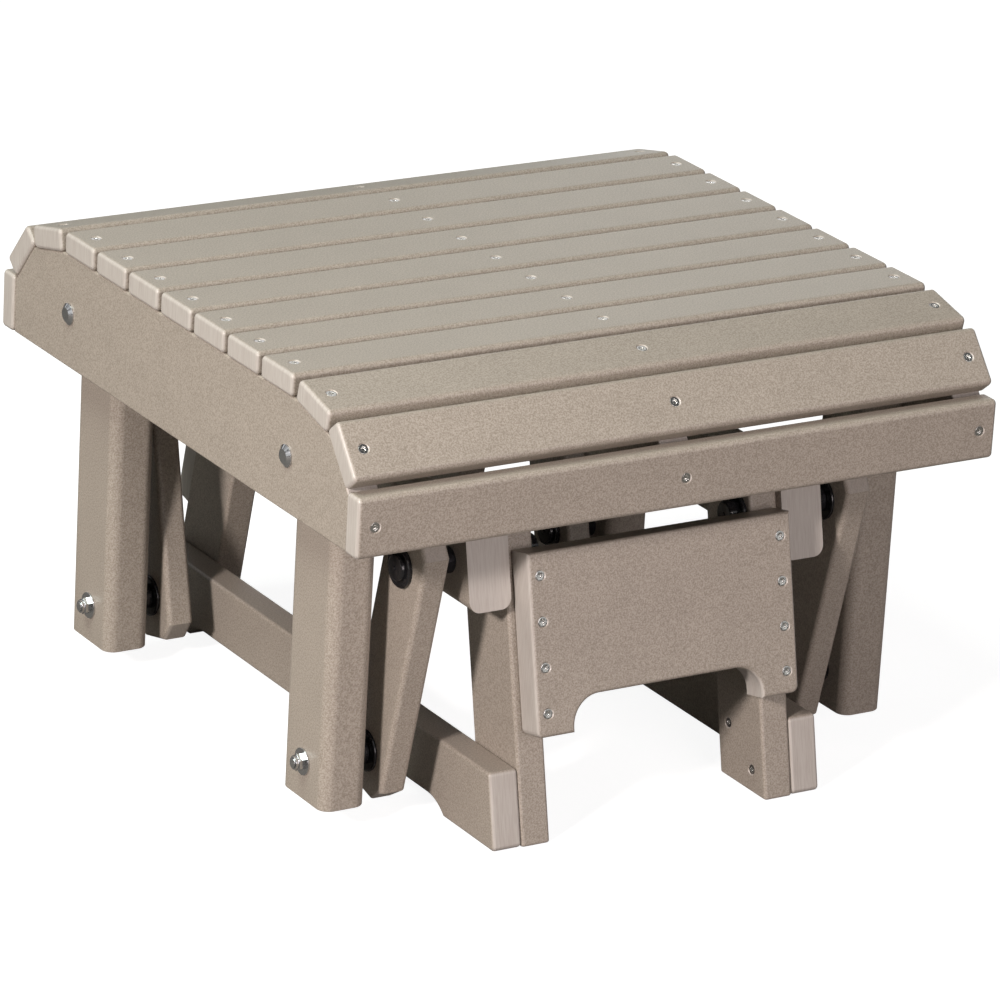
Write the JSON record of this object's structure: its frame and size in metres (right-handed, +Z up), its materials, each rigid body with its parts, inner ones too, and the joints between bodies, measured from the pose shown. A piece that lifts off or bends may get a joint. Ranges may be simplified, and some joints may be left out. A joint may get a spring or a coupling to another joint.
{
  "type": "glider ottoman",
  "caption": "Slatted outdoor footrest whose seat glides forwards and back on swinging arms hung from a standing base.",
  "frame": {"origin": "on the floor under the middle of the seat", "axes": "+X along the slats to the right, -Y towards the front, +Z up"},
  "size_m": [0.6132, 0.615, 0.396],
  "materials": {
    "poly_lumber": "taupe recycled plastic lumber, lightly mottled, matte",
    "stainless_screw": "stainless steel, satin",
    "zinc_hardware": "bright zinc plating",
    "black_plastic": "moulded black plastic, semi gloss"
  },
  "bodies": {
    "base": {"left_beam": "poly_lumber", "right_beam": "poly_lumber", "left_runner": "poly_lumber", "right_runner": "poly_lumber", "front_left_post": "poly_lumber", "front_right_post": "poly_lumber", "rear_left_post": "poly_lumber", "rear_right_post": "poly_lumber", "front_panel": "poly_lumber", "rear_panel": "poly_lumber", "upper_pivot_bolts": "zinc_hardware", "upper_pivot_spacers": "black_plastic", "upper_pivot_washers": "zinc_hardware", "upper_pivot_nuts": "zinc_hardware", "post_caps": "black_plastic", "runner_screws": "stainless_screw", "beam_screws": "stainless_screw", "panel_screws": "stainless_screw"},
    "front_left_arm": {"front_left_arm": "poly_lumber", "front_left_arm_bearings": "black_plastic", "front_left_arm_caps": "black_plastic"},
    "front_right_arm": {"front_right_arm": "poly_lumber", "front_right_arm_bearings": "black_plastic", "front_right_arm_caps": "black_plastic"},
    "rear_left_arm": {"rear_left_arm": "poly_lumber", "rear_left_arm_bearings": "black_plastic", "rear_left_arm_caps": "black_plastic"},
    "rear_right_arm": {"rear_right_arm": "poly_lumber", "rear_right_arm_bearings": "black_plastic", "rear_right_arm_caps": "black_plastic"},
    "seat": {"seat_slat_01": "poly_lumber", "seat_slat_02": "poly_lumber", "seat_slat_03": "poly_lumber", "seat_slat_04": "poly_lumber", "seat_slat_05": "poly_lumber", "seat_slat_06": "poly_lumber", "seat_slat_07": "poly_lumber", "seat_slat_08": "poly_lumber", "seat_slat_09": "poly_lumber", "seat_slat_10": "poly_lumber", "seat_slat_11": "poly_lumber", "seat_slat_12": "poly_lumber", "seat_slat_13": "poly_lumber", "left_side_rail": "poly_lumber", "right_side_rail": "poly_lumber", "centre_rail": "poly_lumber", "front_left_leg": "poly_lumber", "front_right_leg": "poly_lumber", "rear_left_leg": "poly_lumber", "rear_right_leg": "poly_lumber", "slat_screws": "stainless_screw", "leg_carriage_bolts": "zinc_hardware", "leg_bolt_washers": "zinc_hardware", "leg_bolt_nuts": "zinc_hardware", "lower_pivot_bolts": "zinc_hardware", "lower_pivot_spacers": "black_plastic", "lower_pivot_washers": "zinc_hardware", "lower_pivot_nuts": "zinc_hardware"}
  },
  "joints": [
    {"name": "front_left_swing", "type": "hinge", "parent": "base", "child": "front_left_arm", "pos_m": [-0.2035, -0.2286, 0.2314], "axis": [1, 0, 0], "range_deg": [-12, 12]},
    {"name": "front_right_swing", "type": "hinge", "parent": "base", "child": "front_right_arm", "pos_m": [0.2035, -0.2286, 0.2314], "axis": [1, 0, 0], "range_deg": [-12, 12]},
    {"name": "rear_left_swing", "type": "hinge", "parent": "base", "child": "rear_left_arm", "pos_m": [-0.2035, 0.2286, 0.2314], "axis": [1, 0, 0], "range_deg": [-12, 12]},
    {"name": "rear_right_swing", "type": "hinge", "parent": "base", "child": "rear_right_arm", "pos_m": [0.2035, 0.2286, 0.2314], "axis": [1, 0, 0], "range_deg": [-12, 12]},
    {"name": "seat_rock", "type": "hinge", "parent": "front_left_arm", "child": "seat", "pos_m": [-0.2035, -0.188, 0.057], "axis": [1, 0, 0], "range_deg": [-15, 15]}
  ],
  "couplings": [
    {"joint": "front_right_swing", "follows": "front_left_swing", "ratio": 1},
    {"joint": "rear_left_swing", "follows": "front_left_swing", "ratio": 1},
    {"joint": "rear_right_swing", "follows": "front_left_swing", "ratio": 1},
    {"joint": "seat_rock", "follows": "front_left_swing", "ratio": -1.216}
  ]
}
